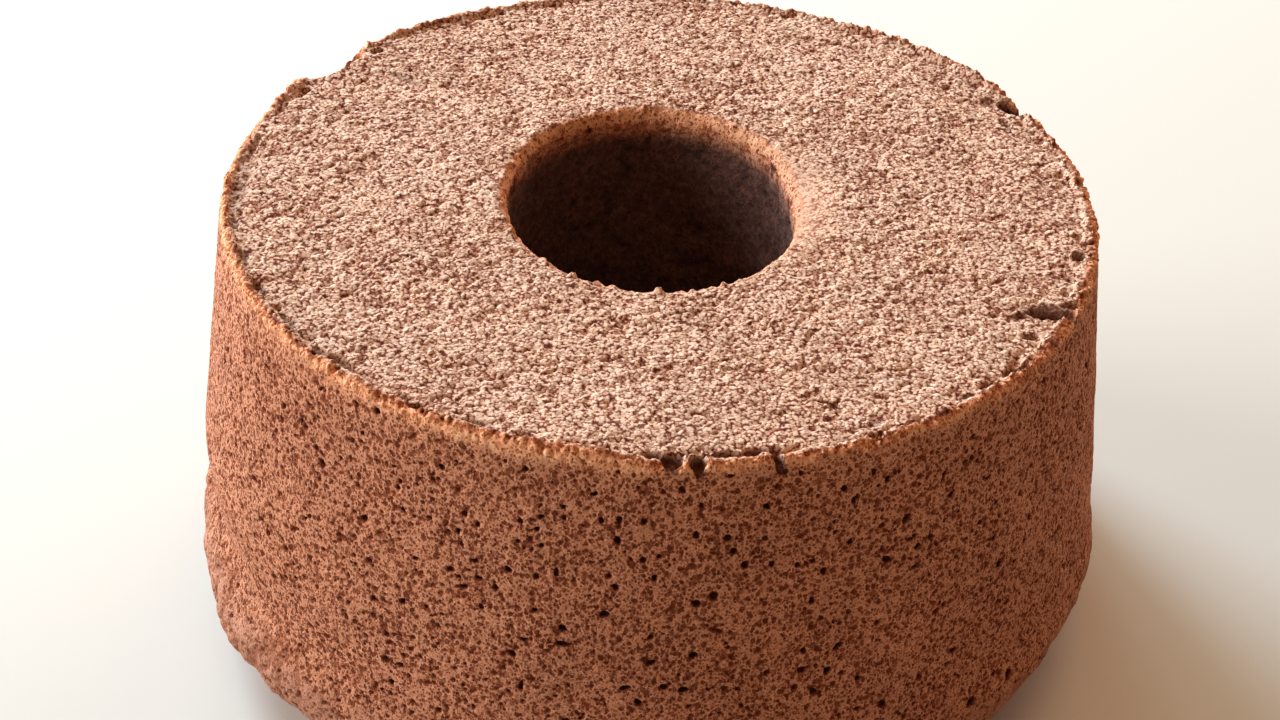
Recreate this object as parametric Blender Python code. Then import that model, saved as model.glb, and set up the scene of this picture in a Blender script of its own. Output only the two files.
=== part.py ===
"""A whole cocoa chiffon cake, turned out of its tube pan and standing on its crown.

The broad pan-floor face is on top, the wall widens downwards as the pan does, and the
crown that rose over the pan's rim is underneath, where it bulges and rounds in to a
flattened ring that the cake stands on. The hole left by the pan's tube runs right
through, widest at the top face. Metres, +Z up, origin at the middle of the base.
"""

import math

import bmesh
import bpy
from mathutils import Vector

# ---- driving dimensions (metres) ----
HEIGHT = 0.0800            # board to pan-floor face
TOP_RADIUS = 0.0765        # pan-floor face, at its outer edge
BULGE_RADIUS = 0.0836      # widest ring, where the batter rose over the pan's rim
BULGE_HEIGHT = 0.0153      # height of that ring above the board
FOOT_RADIUS = 0.0674       # outer edge of the flattened ring that carries the cake
FOOT_SKEW = 0.0011         # the crown is rolled in harder on the right than on the left
LIP_HEIGHT = 0.0007        # skin that stands proud round the top face
LIP_WIDTH = 0.0022
HOLE_TOP_RADIUS = 0.0279   # tube hole at the top face
HOLE_FOOT_RADIUS = 0.0212  # tube hole at the crown
HOLE_OVAL = 0.055          # the soft hole is this much longer front to back
HOLE_OFFSET = (-0.0012, 0.0010)
HOLE_TOP_ROUND = 0.0026    # worn edge of the hole on the top face
HOLE_FOOT_ROUND = 0.0050   # the crown rolls over into the hole
FOOT_ROUND_POWER = 2.05    # shape of the roll from the bulge to the foot
COLUMNS = 120              # facets round the cake

# Damage to the top edge: (degrees round from +X, arc half-width in degrees,
# radius of its middle, radial half-width, depth), all from real tears.
TEARS = (
    (-24.0, 5.6, 0.0715, 0.0058, 0.0024),   # torn hollow on the right
    (-40.5, 5.0, 0.0752, 0.0024, 0.0009),   # shallow trench beside it
    (29.8, 4.6, 0.0758, 0.0042, 0.0018),    # chip at the back right
    (148.0, 7.2, 0.0765, 0.0044, 0.0022),   # length of skin missing at the back left
    (-86.0, 4.2, 0.0755, 0.0024, 0.0011),   # nibbled bit of the front edge
    (-151.0, 6.0, 0.0758, 0.0026, 0.0010),  # crumbled edge on the left
)


def smooth(t):
    t = min(1.0, max(0.0, t))
    return t * t * (3.0 - 2.0 * t)


def wall_radius(z):
    """Mean outer radius at height z: the pan's straight taper, then the crown's roll."""
    if z >= BULGE_HEIGHT:
        t = (HEIGHT - z) / (HEIGHT - BULGE_HEIGHT)
        return TOP_RADIUS + (BULGE_RADIUS - TOP_RADIUS) * t
    t = max(0.0, min(1.0, (BULGE_HEIGHT - z) / BULGE_HEIGHT))
    n = FOOT_ROUND_POWER
    return FOOT_RADIUS + (BULGE_RADIUS - FOOT_RADIUS) * (1.0 - t ** n) ** (1.0 / n)


def hole_radius(z):
    t = z / HEIGHT
    return HOLE_FOOT_RADIUS + (HOLE_TOP_RADIUS - HOLE_FOOT_RADIUS) * t


def profile():
    """The closed outline that is turned, as (radius, height), hole side first."""
    points = []
    # hole wall, bottom to top
    for i in range(6):
        z = HOLE_FOOT_ROUND + (HEIGHT - HOLE_TOP_ROUND - HOLE_FOOT_ROUND) * i / 5
        points.append((hole_radius(z), z))
    # worn edge of the hole
    r0 = hole_radius(HEIGHT - HOLE_TOP_ROUND)
    for i in (1, 2, 3):
        a = math.radians(30.0 * i)
        points.append((r0 + HOLE_TOP_ROUND * (1 - math.cos(a)),
                       HEIGHT - HOLE_TOP_ROUND * (1 - math.sin(a))))
    # pan-floor face
    r1 = r0 + HOLE_TOP_ROUND
    r2 = TOP_RADIUS - 0.0100
    for i in range(1, 5):
        points.append((r1 + (r2 - r1) * i / 4, HEIGHT))
    points.append((TOP_RADIUS - 0.0060, HEIGHT))
    points.append((TOP_RADIUS - LIP_WIDTH - 0.0010, HEIGHT))
    # raised lip of skin, and over the edge
    points.append((TOP_RADIUS - 0.0012, HEIGHT + LIP_HEIGHT))
    points.append((TOP_RADIUS - 0.0002, HEIGHT - 0.0006))
    # wall, top to bulge
    for i in range(1, 8):
        z = HEIGHT - 0.0006 - (HEIGHT - 0.0006 - BULGE_HEIGHT) * i / 7
        points.append((wall_radius(z), z))
    # crown's roll, bulge to foot
    for i in range(1, 7):
        a = math.radians(90.0) * i / 6
        z = BULGE_HEIGHT * (1.0 - math.sin(a) ** (2.0 / FOOT_ROUND_POWER))
        points.append((wall_radius(z) if i < 6 else FOOT_RADIUS, z if i < 6 else 0.0))
    # foot ring, inwards
    r3 = hole_radius(HOLE_FOOT_ROUND) + HOLE_FOOT_ROUND
    points.append((0.048, 0.0))
    points.append((r3, 0.0))
    # crown rolls into the hole
    for i in (1, 2):
        a = math.radians(30.0 * i)
        points.append((r3 - HOLE_FOOT_ROUND * math.sin(a),
                       HOLE_FOOT_ROUND * (1 - math.cos(a))))
    return points


def unevenness(theta, z):
    """How far the soft wall stands out from its mean radius, from a few slow waves."""
    low = 1.0 - smooth(z / 0.034)
    d = 0.00030 * math.sin(2 * theta + 0.6) + 0.00022 * math.sin(3 * theta + 2.1 + 30 * z)
    d += 0.00016 * math.sin(5 * theta + 4.0 - 45 * z)
    d += low * (0.00040 * math.sin(3 * theta + 1.3) + 0.00034 * math.sin(7 * theta + 0.4)
                + 0.00030 * math.sin(13 * theta + 2.0 + 60 * z))
    d -= (1.0 - smooth(z / 0.013)) * FOOT_SKEW * math.cos(theta + 0.5)
    return d


def lift(theta, r):
    """Slow swell of the top face."""
    t = smooth((r - HOLE_TOP_RADIUS - 0.002) / 0.010)
    return t * (0.00022 * math.sin(2 * theta + 1.0) + 0.00018 * math.sin(3 * theta + 90 * r)
                + 0.00020 * math.sin(7 * theta + 2.2) * smooth((r - 0.066) / 0.008))


def tear_depth(theta, r):
    """How much of the top edge is missing at an angle and radius."""
    total = 0.0
    for degrees, half_arc, middle, half_width, depth in TEARS:
        turn = (math.degrees(theta) - degrees + 180.0) % 360.0 - 180.0
        a = abs(turn) / half_arc
        b = abs(r - middle) / half_width
        total += depth * (1.0 - smooth(a)) * (1.0 - smooth(b * 0.75))
    return total


def shape_point(co):
    """Moves a point of the turned body to its place on the uneven, hand-unmoulded cake."""
    r = math.hypot(co.x, co.y)
    theta = math.atan2(co.y, co.x)
    z = co.z
    inner, outer = hole_radius(z), wall_radius(z)
    hole = min(1.0, max(0.0, (outer - r) / (outer - inner)))
    side = 1.0 - hole
    r += unevenness(theta, z) * smooth(side * 1.6 - 0.6)
    if z > HEIGHT - 0.0012:
        z += lift(theta, r) - tear_depth(theta, r)
    oval = HOLE_OVAL * hole * z / HEIGHT
    x = r * (1.0 - oval) * math.cos(theta) + HOLE_OFFSET[0] * hole
    y = r * (1.0 + oval) * math.sin(theta) + HOLE_OFFSET[1] * hole
    return Vector((x, y, z))


def turned_cake():
    bm = bmesh.new()
    ring = [bm.verts.new((r, 0.0, z)) for r, z in profile()]
    loop = [bm.edges.new((a, b)) for a, b in zip(ring, ring[1:] + ring[:1])]
    bmesh.ops.spin(bm, geom=ring + loop, cent=(0, 0, 0), axis=(0, 0, 1), dvec=(0, 0, 0),
                   angle=math.tau, steps=COLUMNS, use_merge=True, use_duplicate=False)
    bmesh.ops.remove_doubles(bm, verts=bm.verts, dist=1e-6)
    for v in bm.verts:
        v.co = shape_point(v.co)
    # stand on the foot ring, with the outline centred over the origin
    xs = [v.co.x for v in bm.verts]
    ys = [v.co.y for v in bm.verts]
    low = min(v.co.z for v in bm.verts)
    shift = Vector((-(min(xs) + max(xs)) / 2, -(min(ys) + max(ys)) / 2, -low))
    bmesh.ops.translate(bm, verts=bm.verts, vec=shift)
    # keep the foot as one flat ring, and split the uneven quads the same way round
    foot = [f for f in bm.faces if all(v.co.z < 1e-6 for v in f.verts)]
    bent = [f for f in bm.faces if f not in set(foot)]
    bmesh.ops.triangulate(bm, faces=bent, quad_method="BEAUTY")
    bmesh.ops.recalc_face_normals(bm, faces=bm.faces)
    mesh = bpy.data.meshes.new("cake")
    bm.to_mesh(mesh)
    bm.free()
    return mesh


def crumb_material():
    material = bpy.data.materials.new("cocoa_crumb")
    material.use_nodes = True
    shader = material.node_tree.nodes["Principled BSDF"]
    shader.inputs["Base Color"].default_value = (0.42, 0.20, 0.105, 1.0)
    shader.inputs["Roughness"].default_value = 0.92
    shader.inputs["Metallic"].default_value = 0.0
    return material


def main():
    for o in list(bpy.data.objects):
        bpy.data.objects.remove(o)
    mesh = turned_cake()
    cake = bpy.data.objects.new("cake", mesh)
    bpy.context.scene.collection.objects.link(cake)
    mesh.materials.append(crumb_material())
    mesh.shade_smooth()
    mesh.set_sharp_from_angle(angle=math.radians(40))


main()
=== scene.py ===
"""Looks of the cocoa chiffon cake: an open-pored wall, a crumbly pan-floor face with its
ragged lip, the dark tube hole and the rolled crown it stands on.

The whole skin is worked out as one fine net of points round the same outline as the
solid, then cut into pieces that share their border points, so no seam shows.
"""

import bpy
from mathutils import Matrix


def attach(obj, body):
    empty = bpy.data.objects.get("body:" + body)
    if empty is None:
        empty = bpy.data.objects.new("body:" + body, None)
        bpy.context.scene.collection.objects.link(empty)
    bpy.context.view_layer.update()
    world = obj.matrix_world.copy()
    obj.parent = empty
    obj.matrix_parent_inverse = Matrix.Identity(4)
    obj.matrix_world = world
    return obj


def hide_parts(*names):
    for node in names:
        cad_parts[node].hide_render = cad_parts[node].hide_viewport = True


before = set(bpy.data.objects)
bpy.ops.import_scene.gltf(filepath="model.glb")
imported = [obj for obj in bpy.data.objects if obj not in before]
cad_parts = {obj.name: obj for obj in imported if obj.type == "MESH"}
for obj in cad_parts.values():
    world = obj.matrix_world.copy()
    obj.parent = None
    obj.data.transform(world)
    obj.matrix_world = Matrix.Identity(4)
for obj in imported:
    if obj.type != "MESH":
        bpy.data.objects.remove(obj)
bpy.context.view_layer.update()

import math

import bpy
import numpy as np
from mathutils import Matrix, Vector

# ------------------------------------------------------------------ outline of the cake
# The same driving dimensions as the solid (metres).
HEIGHT = 0.0800
TOP_RADIUS = 0.0765
BULGE_RADIUS = 0.0836
BULGE_HEIGHT = 0.0153
FOOT_RADIUS = 0.0674
FOOT_SKEW = 0.0011
HOLE_TOP_RADIUS = 0.0279
HOLE_FOOT_RADIUS = 0.0212
HOLE_OVAL = 0.055
HOLE_OFFSET = (-0.0012, 0.0010)
HOLE_TOP_ROUND = 0.0026
HOLE_FOOT_ROUND = 0.0050
FOOT_ROUND_POWER = 2.05
CENTRING = (-0.000416, 0.000384)   # brings the uneven outline's middle over the origin
EDGE_ROUND = 0.0016                # the top edge itself

SIDE_COLUMNS = 1050
LIP_COLUMNS = 1800
SEED = 20417
MM = 0.001


def smooth(t):
    t = np.clip(t, 0.0, 1.0)
    return t * t * (3.0 - 2.0 * t)


def wall_radius(z):
    t = np.clip((HEIGHT - z) / (HEIGHT - BULGE_HEIGHT), -0.1, 1.0)
    up = TOP_RADIUS + (BULGE_RADIUS - TOP_RADIUS) * t
    q = np.clip((BULGE_HEIGHT - z) / BULGE_HEIGHT, 0.0, 1.0)
    n = FOOT_ROUND_POWER
    down = FOOT_RADIUS + (BULGE_RADIUS - FOOT_RADIUS) * (1.0 - q ** n) ** (1.0 / n)
    return np.where(z >= BULGE_HEIGHT, up, down)


def hole_radius(z):
    return HOLE_FOOT_RADIUS + (HOLE_TOP_RADIUS - HOLE_FOOT_RADIUS) * z / HEIGHT


def unevenness(theta, z):
    low = 1.0 - smooth(z / 0.034)
    d = 0.00030 * np.sin(2 * theta + 0.6) + 0.00022 * np.sin(3 * theta + 2.1 + 30 * z)
    d = d + 0.00016 * np.sin(5 * theta + 4.0 - 45 * z)
    d = d + low * (0.00040 * np.sin(3 * theta + 1.3) + 0.00034 * np.sin(7 * theta + 0.4)
                   + 0.00030 * np.sin(13 * theta + 2.0 + 60 * z))
    return d - (1.0 - smooth(z / 0.013)) * FOOT_SKEW * np.cos(theta + 0.5)


def lift(theta, r):
    t = smooth((r - HOLE_TOP_RADIUS - 0.002) / 0.010)
    return t * (0.00022 * np.sin(2 * theta + 1.0) + 0.00018 * np.sin(3 * theta + 90 * r)
                + 0.00020 * np.sin(7 * theta + 2.2) * smooth((r - 0.066) / 0.008))


def outline():
    """Closed profile as dense (r, z) points, with the running length at each corner."""
    parts = []
    z = np.linspace(HOLE_FOOT_ROUND, HEIGHT - HOLE_TOP_ROUND, 200)
    parts.append(("tube", hole_radius(z), z))
    a = np.linspace(0, math.pi / 2, 40)
    r0 = hole_radius(HEIGHT - HOLE_TOP_ROUND)
    parts.append(("hole_edge", r0 + HOLE_TOP_ROUND * (1 - np.cos(a)),
                  HEIGHT - HOLE_TOP_ROUND * (1 - np.sin(a))))
    r = np.linspace(r0 + HOLE_TOP_ROUND, TOP_RADIUS - 0.0030, 200)
    parts.append(("top", r, np.full_like(r, HEIGHT)))
    r = np.linspace(TOP_RADIUS - 0.0030, TOP_RADIUS - EDGE_ROUND, 30)
    parts.append(("lip", r, np.full_like(r, HEIGHT)))
    parts.append(("edge", TOP_RADIUS - EDGE_ROUND * (1 - np.sin(a)),
                  HEIGHT - EDGE_ROUND * (1 - np.cos(a))))
    z = np.linspace(HEIGHT - EDGE_ROUND, BULGE_HEIGHT, 300)
    parts.append(("wall", wall_radius(z), z))
    n = FOOT_ROUND_POWER
    b = np.linspace(0, math.pi / 2, 200)
    parts.append(("roll", FOOT_RADIUS + (BULGE_RADIUS - FOOT_RADIUS) * np.cos(b) ** (2 / n),
                  BULGE_HEIGHT * (1 - np.sin(b) ** (2 / n))))
    r3 = hole_radius(HOLE_FOOT_ROUND) + HOLE_FOOT_ROUND
    r = np.linspace(FOOT_RADIUS, r3, 80)
    parts.append(("foot", r, np.zeros_like(r)))
    parts.append(("inner_roll", r3 - HOLE_FOOT_ROUND * np.sin(a),
                  HOLE_FOOT_ROUND * (1 - np.cos(a))))
    R, Z, marks = [], [], {}
    s = 0.0
    S = []
    for name, pr, pz in parts:
        if R:
            pr, pz = pr[1:], pz[1:]
            prev = (R[-1][-1], Z[-1][-1])
        else:
            prev = (pr[0], pz[0])
        step = np.hypot(np.diff(np.concatenate([[prev[0]], pr])),
                        np.diff(np.concatenate([[prev[1]], pz])))
        run = s + np.cumsum(step)
        marks[name] = (s, run[-1])
        s = run[-1]
        R.append(pr)
        Z.append(pz)
        S.append(run)
    R, Z, S = np.concatenate(R), np.concatenate(Z), np.concatenate(S)
    tr, tz = np.gradient(R, S), np.gradient(Z, S)
    k = np.hypot(tr, tz)
    # it runs up the hole, out over the top and down the wall, with the cake on its right
    return R, Z, S, -tz / k, tr / k, marks


PR, PZ, PS, PNR, PNZ, MARK = outline()


def base_r(s):
    return np.interp(s, PS, PR)


def base_z(s):
    return np.interp(s, PS, PZ)


def place(theta, s, out, drop=None, inward=None):
    """World position of a skin point: angle, running length, height off the skin."""
    r, z = base_r(s), base_z(s)
    nr, nz = np.interp(s, PS, PNR), np.interp(s, PS, PNZ)
    k = np.hypot(nr, nz)
    nr, nz = nr / k, nz / k
    inner, outer = hole_radius(z), wall_radius(z)
    hole = np.clip((outer - r) / np.maximum(outer - inner, 1e-6), 0.0, 1.0)
    side = 1.0 - hole
    bump = unevenness(theta, z) * smooth(side * 1.6 - 0.6)
    top = smooth((z - (HEIGHT - 0.0030)) / 0.0026)
    z2 = z + lift(theta, r) * top + nz * out
    r2 = r + bump + nr * out
    if drop is not None:
        z2 = z2 - drop
    if inward is not None:
        r2 = r2 - inward
    oval = HOLE_OVAL * hole * z / HEIGHT
    x = r2 * (1.0 - oval) * np.cos(theta) + HOLE_OFFSET[0] * hole + CENTRING[0]
    y = r2 * (1.0 + oval) * np.sin(theta) + HOLE_OFFSET[1] * hole + CENTRING[1]
    return np.stack([x, y, z2], axis=-1)


# ------------------------------------------------------------------------ numeric noise
def _hash(ix, iy, iz, seed):
    h = (ix.astype(np.int64) * 374761393 + iy.astype(np.int64) * 668265263
         + iz.astype(np.int64) * 1442695041 + seed * 1274126177) & 0xFFFFFFFF
    h = ((h ^ (h >> 13)) * 1274126177) & 0xFFFFFFFF
    h = ((h ^ (h >> 15)) * 2246822519) & 0xFFFFFFFF
    return ((h ^ (h >> 16)) & 0xFFFFFF) / float(0xFFFFFF)


def value_noise(p, size, seed):
    """Smooth noise from -1 to 1 with features of the given size (metres)."""
    q = p / size
    i = np.floor(q).astype(np.int64)
    f = q - i
    f = f * f * (3 - 2 * f)
    total = 0.0
    for dx in (0, 1):
        wx = f[..., 0] if dx else 1 - f[..., 0]
        for dy in (0, 1):
            wy = f[..., 1] if dy else 1 - f[..., 1]
            for dz in (0, 1):
                wz = f[..., 2] if dz else 1 - f[..., 2]
                total = total + wx * wy * wz * _hash(i[..., 0] + dx, i[..., 1] + dy,
                                                     i[..., 2] + dz, seed)
    return total * 2 - 1


def cells(p, size, seed):
    """Distance to the nearest and second nearest scattered point, in cell sizes."""
    q = p / size
    i = np.floor(q).astype(np.int64)
    best = np.full(q.shape[0], 9.0)
    second = np.full(q.shape[0], 9.0)
    tag = np.zeros(q.shape[0])
    for dx in (-1, 0, 1):
        for dy in (-1, 0, 1):
            for dz in (-1, 0, 1):
                cx, cy, cz = i[:, 0] + dx, i[:, 1] + dy, i[:, 2] + dz
                px = cx + _hash(cx, cy, cz, seed)
                py = cy + _hash(cx, cy, cz, seed + 11)
                pz = cz + _hash(cx, cy, cz, seed + 23)
                d = np.sqrt((px - q[:, 0]) ** 2 + (py - q[:, 1]) ** 2 + (pz - q[:, 2]) ** 2)
                near = d < best
                second = np.where(near, best, np.minimum(second, d))
                tag = np.where(near, _hash(cx, cy, cz, seed + 37), tag)
                best = np.where(near, d, best)
    return best, second, tag


# --------------------------------------------------------------------- the net of points
class Net:
    """Rings of points along the outline, joined by strips of triangles."""

    def __init__(self):
        self.s, self.n, self.off, self.zone = [], [], [], []

    def add(self, zone, step, columns=None, rows_step=None, first=False):
        s0, s1 = MARK[zone]
        rows = max(1, int(round((s1 - s0) / (rows_step or 0.866 * step))))
        start = 0 if first else 1
        for k in range(start, rows + 1):
            s = s0 + (s1 - s0) * k / rows
            n = columns or max(24, int(round(math.tau * float(base_r(s)) / step)))
            self.s.append(s)
            self.n.append(n)
            i = len(self.s)
            self.off.append(0.5 * (i % 2) + (0.0 if columns else 0.173 * (i % 3)))
            self.zone.append(zone)


net = Net()
net.add("tube", 0.64 * MM, first=True)
net.add("hole_edge", 0.42 * MM)
net.add("top", 0.318 * MM)
net.add("lip", 0.27 * MM, columns=LIP_COLUMNS, rows_step=0.23 * MM)
net.add("edge", 0.27 * MM, columns=LIP_COLUMNS, rows_step=0.22 * MM)
net.add("wall", 0.48 * MM, columns=SIDE_COLUMNS, rows_step=0.415 * MM)
net.add("roll", 0.48 * MM, columns=SIDE_COLUMNS, rows_step=0.45 * MM)
net.add("foot", 1.2 * MM)
net.add("inner_roll", 0.70 * MM)
# the last ring is the first one again
net.s.pop(), net.n.pop(), net.off.pop(), net.zone.pop()

rng = np.random.default_rng(SEED)
ring_s = np.array(net.s)
ring_n = np.array(net.n)
ring_off = np.array(net.off)
ring_zone = np.array(net.zone)
ring_start = np.concatenate([[0], np.cumsum(ring_n)])
POINTS = int(ring_start[-1])
point_ring = np.repeat(np.arange(len(ring_n)), ring_n)
column = np.arange(POINTS) - ring_start[point_ring]
theta = (column + ring_off[point_ring]) * math.tau / ring_n[point_ring]
run = ring_s[point_ring]
zone = ring_zone[point_ring]

# strips between neighbouring rings
triangles = []
for a in range(len(ring_n)):
    b = (a + 1) % len(ring_n)
    na, nb = int(ring_n[a]), int(ring_n[b])
    oa, ob = ring_off[a], ring_off[b]
    k = np.arange(na)
    mid = (k + oa + 0.5) / na
    apex = np.ceil(mid * nb - ob - 0.5 - 1e-9).astype(np.int64) % nb
    t1 = np.stack([ring_start[a] + k, ring_start[b] + apex, ring_start[a] + (k + 1) % na], 1)
    k = np.arange(nb)
    mid = (k + ob + 0.5) / nb
    apex = (np.floor(mid * na - oa - 0.5 + 1e-9).astype(np.int64) + 1) % na
    t2 = np.stack([ring_start[b] + k, ring_start[b] + (k + 1) % nb, ring_start[a] + apex], 1)
    triangles.append(t1)
    triangles.append(t2)
triangles = np.concatenate(triangles)

# loosen the net, so that no rows show
gap_t = math.tau / ring_n[point_ring]
gap_s = np.gradient(ring_s)[point_ring]
loosen = np.where(zone == "foot", 0.0, 0.27)
theta = theta + gap_t * loosen * rng.uniform(-1, 1, POINTS)
run = run + np.clip(gap_s, 0.1 * MM, 1 * MM) * loosen * rng.uniform(-1, 1, POINTS)
run = np.clip(run, 0.0, PS[-1])

# ------------------------------------------------------------------------ pores, wall
side_rings = np.flatnonzero(np.isin(ring_zone, ("wall", "roll")))
side_first = ring_start[side_rings[0]]
side_rows = len(side_rings)
sl = slice(side_first, side_first + side_rows * SIDE_COLUMNS)
TH = theta[sl].reshape(side_rows, SIDE_COLUMNS).copy()
SS = run[sl].reshape(side_rows, SIDE_COLUMNS).copy()
RR = base_r(SS)
row_s = ring_s[side_rings]
row_off = ring_off[side_rings]
WALL0, WALL1 = MARK["wall"]
ROLL0, ROLL1 = MARK["roll"]

# The black pores that show plainest, their black painted in as shade: degrees round from +X,
# depth below the top face, width, height (mm) and how far the long way slants up to the right (degrees).
BLACK_PORES = (
    (-123.8, 2.1, 1.35, 1.9, 0), (-125.6, 7.2, 0.8, 1.0, 0), (-120.1, 14.2, 0.9, 1.1, 0),
    (-119.1, 18.2, 1.0, 1.1, 0), (-111.2, 14.6, 1.3, 1.1, -25), (-111.8, 18.5, 0.9, 1.2, 0),
    (-111.1, 20.4, 0.8, 1.0, 0), (-117.2, 26.1, 1.3, 0.9, 0), (-109.4, 23.1, 1.3, 0.9, 0),
    (-109.1, 25.8, 1.2, 1.2, 0), (-110.9, 28.5, 1.3, 1.2, 30), (-106.9, 27.2, 1.3, 1.3, -35),
    (-105.3, 22.9, 1.5, 1.1, -45), (-104.2, 13.5, 1.0, 1.1, 0), (-102.0, 11.8, 1.2, 1.0, 15),
    (-102.2, 14.2, 0.9, 1.1, 0), (-104.6, 17.4, 0.9, 0.9, 0), (-101.5, 17.2, 0.9, 1.0, 0),
    (-99.5, 9.5, 1.1, 0.9, 20), (-99.3, 11.4, 0.9, 1.1, 0), (-95.9, 6.6, 1.1, 0.8, 20),
    (-104.1, 4.2, 1.2, 1.1, 0), (-99.9, 21.6, 0.9, 1.8, 0), (-93.0, 14.4, 1.3, 1.5, 0),
    (-95.0, 10.9, 1.0, 1.4, 0), (-92.7, 22.8, 1.2, 1.2, 0), (-85.8, 4.5, 1.2, 1.4, 0),
    (-93.2, 1.8, 1.0, 1.1, 30), (-80.2, 1.9, 1.3, 0.9, 25), (-71.9, 2.8, 1.2, 0.9, 25),
    (-83.4, 7.1, 0.8, 1.6, 0), (-75.8, 8.1, 1.5, 1.0, -30), (-92.8, 10.7, 1.1, 1.4, 0),
    (-90.0, 10.6, 1.1, 1.3, 0), (-84.1, 12.6, 1.1, 1.5, 0), (-89.7, 17.8, 1.0, 1.4, 0),
    (-88.2, 16.7, 0.9, 1.0, 0), (-88.3, 20.9, 0.9, 1.4, 0), (-78.2, 18.4, 1.8, 1.2, 55),
    (-79.6, 15.8, 1.2, 1.2, 0), (-75.0, 18.9, 0.9, 1.3, 0), (-71.8, 19.6, 0.9, 1.2, 0),
    (-68.7, 21.8, 1.4, 1.5, 0), (-65.5, 17.1, 1.1, 1.2, 0), (-65.2, 9.5, 1.8, 1.1, 65),
    (-62.9, 5.2, 0.9, 1.4, 0), (-66.5, 6.8, 1.1, 1.3, 0), (-81.5, 24.4, 1.6, 1.7, 0),
    (-83.5, 25.5, 1.7, 1.3, 0), (-93.9, 28.2, 2.0, 1.2, 35), (-69.9, 27.0, 1.2, 1.3, 0),
    (-60.8, 7.4, 1.3, 1.1, 35), (-52.4, 10.2, 2.2, 0.9, 70), (-51.1, 14.7, 1.2, 1.3, 0),
    (-48.0, 9.6, 1.1, 1.4, 0), (-57.8, 15.9, 2.3, 1.3, 50), (-57.0, 20.2, 2.2, 0.8, 15),
    (-60.5, 22.6, 2.1, 1.4, -40), (-56.1, 26.0, 2.0, 0.9, 15), (-41.9, 34.6, 1.9, 1.5, 0),
    (-38.1, 23.4, 1.2, 1.3, 0), (-118.3, 35.2, 1.3, 1.3, -20), (-119.3, 52.4, 1.0, 1.6, 0),
    (-102.1, 29.5, 1.0, 1.3, -45), (-98.8, 32.0, 1.7, 1.1, -30), (-102.9, 35.5, 1.7, 0.8, -15),
    (-98.3, 34.9, 3.4, 0.9, 4), (-104.3, 38.8, 1.7, 1.1, -35), (-102.9, 44.3, 0.9, 2.2, 0),
    (-91.0, 42.1, 2.1, 1.0, 12), (-86.6, 41.6, 1.8, 1.1, 0), (-84.4, 42.0, 1.8, 1.2, 0),
    (-83.5, 35.5, 1.6, 1.4, 0), (-88.4, 37.2, 2.0, 0.9, 25), (-89.5, 45.0, 1.4, 1.4, 0),
    (-66.2, 37.0, 2.0, 1.2, 25), (-70.5, 36.5, 1.1, 1.3, 0), (-67.6, 41.4, 1.4, 1.7, 0),
    (-70.8, 40.4, 1.3, 1.5, 0), (-63.5, 44.8, 1.2, 1.1, 0), (-59.8, 51.8, 1.5, 2.0, 0),
    (-46.0, 60.5, 2.2, 2.0, 0), (-39.3, 60.0, 2.3, 2.1, 0),
)


def window(row, reach):
    """Lattice offsets within reach of a point on a row, with their distances."""
    out = []
    pitch = math.tau / SIDE_COLUMNS * float(base_r(row_s[row]))
    for di in range(-6, 7):
        i = row + di
        if not 0 <= i < side_rows:
            continue
        dy = row_s[i] - row_s[row]
        shift = row_off[i] - row_off[row]
        for dj in range(-6, 7):
            dx = (dj + shift) * pitch
            if dx * dx + dy * dy < reach * reach:
                out.append((i, dj))
    return np.array([o[0] for o in out]), np.array([o[1] for o in out])


def sow(chance, size, reach, wanted, blocked, order_seed):
    """Scatters pores over free net points; size and reach are per-pore radii."""
    r = np.random.default_rng(order_seed)
    order = r.permutation(side_rows * SIDE_COLUMNS)
    luck = r.random(order.size)
    windows = {}
    found = []
    for q, u in zip(order, luck):
        i, j = divmod(int(q), SIDE_COLUMNS)
        if blocked[i, j] or u > chance[i, j]:
            continue
        k = len(found) % size.size
        key = (i, int(reach[k] / (0.05 * MM)))
        if key not in windows:
            windows[key] = window(i, reach[k])
        wi, wj = windows[key]
        blocked[wi, (wj + j) % SIDE_COLUMNS] = True
        found.append((i, j, size[k]))
        if len(found) >= wanted:
            break
    return found


side_area = 2 * math.pi * 0.080 * (ROLL1 - WALL0) / MM ** 2
centre_s = row_s[:, None] + 0 * TH
patch = np.stack([TH * 0.080, centre_s, 0 * TH], -1).reshape(-1, 3)
clump = value_noise(patch, 5.0 * MM, 71).reshape(TH.shape) \
    + 0.6 * value_noise(patch, 2.2 * MM, 72).reshape(TH.shape)
from_top = centre_s - WALL0
crust = smooth((centre_s - (ROLL0 + 1.0 * MM)) / (9 * MM))
blocked = np.zeros(TH.shape, bool)
blocked[(from_top < 0.5 * MM) | (centre_s > ROLL1 - 1.0 * MM)] = True

size_rng = np.random.default_rng(SEED + 1)
pore_rng = np.random.default_rng(SEED + 4)
outer_z, outer_s = -PZ[PS >= MARK["edge"][0]], PS[PS >= MARK["edge"][0]]
# each pore: row, column, radius, depth, stretch, slant and how dark the painted shade inside it is
pores = []
for deg, below, wide, high, slant in BLACK_PORES:
    i = int(np.argmin(np.abs(row_s - np.interp(below * MM - HEIGHT, outer_z, outer_s))))
    j = int(np.argmin(np.abs((TH[i] - math.radians(deg) + math.pi) % math.tau - math.pi)))
    r = 0.54 * math.sqrt(wide * high) * MM
    pores.append((i, j, r, 0.35 * MM + 0.7 * r, wide / high, -math.radians(slant),
                  pore_rng.uniform(0.68, 0.86)))
    wi, wj = window(i, r * 1.2 + 0.35 * MM)
    blocked[wi, (wj + j) % SIDE_COLUMNS] = True
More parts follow.
